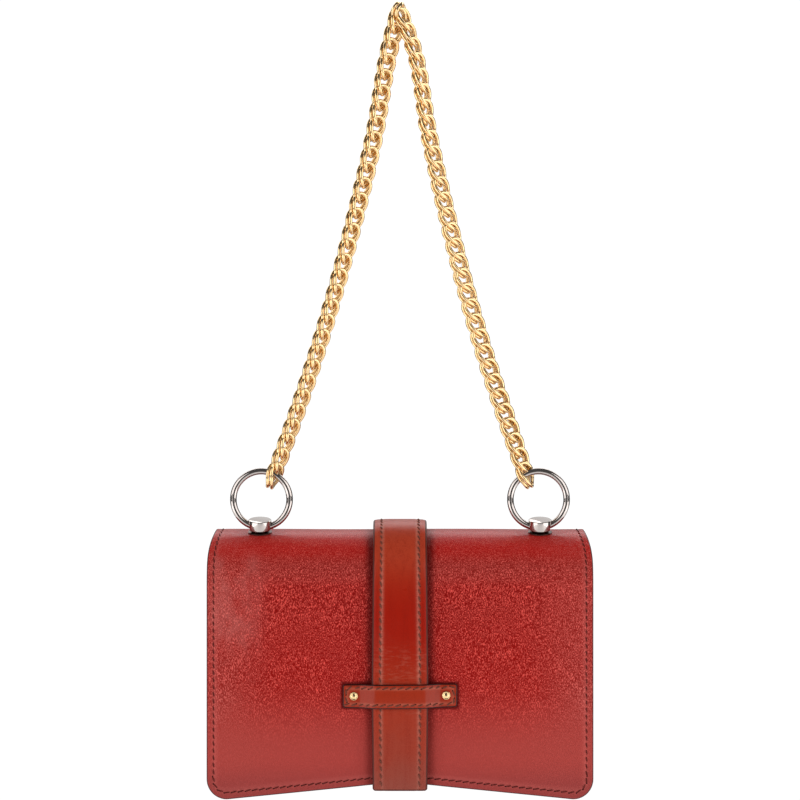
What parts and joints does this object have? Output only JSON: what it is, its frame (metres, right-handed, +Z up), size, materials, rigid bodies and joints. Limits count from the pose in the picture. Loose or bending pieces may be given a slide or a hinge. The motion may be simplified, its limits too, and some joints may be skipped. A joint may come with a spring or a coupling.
{
  "type": "chain shoulder bag",
  "caption": "Small flap bag in pebbled leather with a strap under a keeper, hung from a doubled link chain by rings in drum posts.",
  "frame": {"origin": "inside the upper wire of the chain's highest link, where a hook or a finger holds the bag up", "axes": "+Z up, +X to the right as seen from the front, -Y out of the front"},
  "size_m": [0.2, 0.0655, 0.4158],
  "materials": {
    "red_leather": "glossy pebbled grain with painted edges",
    "strap_leather": "smooth, lightly creased and glossy",
    "lining": "tight twill",
    "board": "plain",
    "gold": "polished",
    "silver": "polished",
    "snap_metal": "satin",
    "dark_steel": "dark plated"
  },
  "bodies": {
    "hang_link": {"chain_top_link": "gold"},
    "chain": {"chain_left_leg": "gold", "chain_right_leg": "gold"},
    "ring_left": {"ring_left": "silver"},
    "ring_right": {"ring_right": "silver"},
    "bag": {"post_left": "silver", "post_right": "silver", "post_washer_left": "dark_steel", "post_washer_right": "dark_steel", "post_nut_left": "dark_steel", "post_nut_right": "dark_steel", "back_panel": "red_leather", "top_board": "board", "back_board": "board", "roof_lining": "lining", "front_panel": "red_leather", "front_board": "board", "gusset_left": "red_leather", "gusset_right": "red_leather", "bottom_panel": "red_leather", "bottom_board": "board", "inner_lining": "lining", "slip_pocket": "lining", "snap_female": "snap_metal", "snap_female_plate": "dark_steel", "flap_fold": "red_leather", "strap_rear": "strap_leather", "strap_fold": "strap_leather"},
    "flap": {"flap_outer": "red_leather", "flap_board": "board", "flap_lining": "lining", "snap_male": "snap_metal", "snap_male_plate": "dark_steel", "strap_front": "strap_leather", "keeper": "red_leather", "keeper_rivets": "gold", "rivet_burrs": "gold"}
  },
  "joints": [
    {"name": "chain_swing", "type": "hinge", "parent": "hang_link", "child": "chain", "pos_m": [0, 0, -0.00695], "axis": [1, 0, 0], "range_deg": [-30, 30]},
    {"name": "ring_left_swing", "type": "hinge", "parent": "chain", "child": "ring_left", "pos_m": [-0.06731, 0, -0.2464], "axis": [1, 0, 0], "range_deg": [-30, 30]},
    {"name": "ring_right_swing", "type": "hinge", "parent": "chain", "child": "ring_right", "pos_m": [0.06731, 0, -0.2464], "axis": [1, 0, 0], "range_deg": [-30, 30]},
    {"name": "bag_swing", "type": "hinge", "parent": "ring_left", "child": "bag", "pos_m": [-0.0726, 0, -0.27492], "axis": [1, 0, 0], "range_deg": [-30, 30]},
    {"name": "flap_hinge", "type": "hinge", "parent": "bag", "child": "flap", "pos_m": [0, -0.0088, -0.28109], "axis": [-1, 0, 0], "range_deg": [0, 110], "deforming": ["flap_fold", "strap_fold"]}
  ],
  "couplings": [
    {"joint": "ring_right_swing", "follows": "ring_left_swing", "ratio": 1}
  ]
}
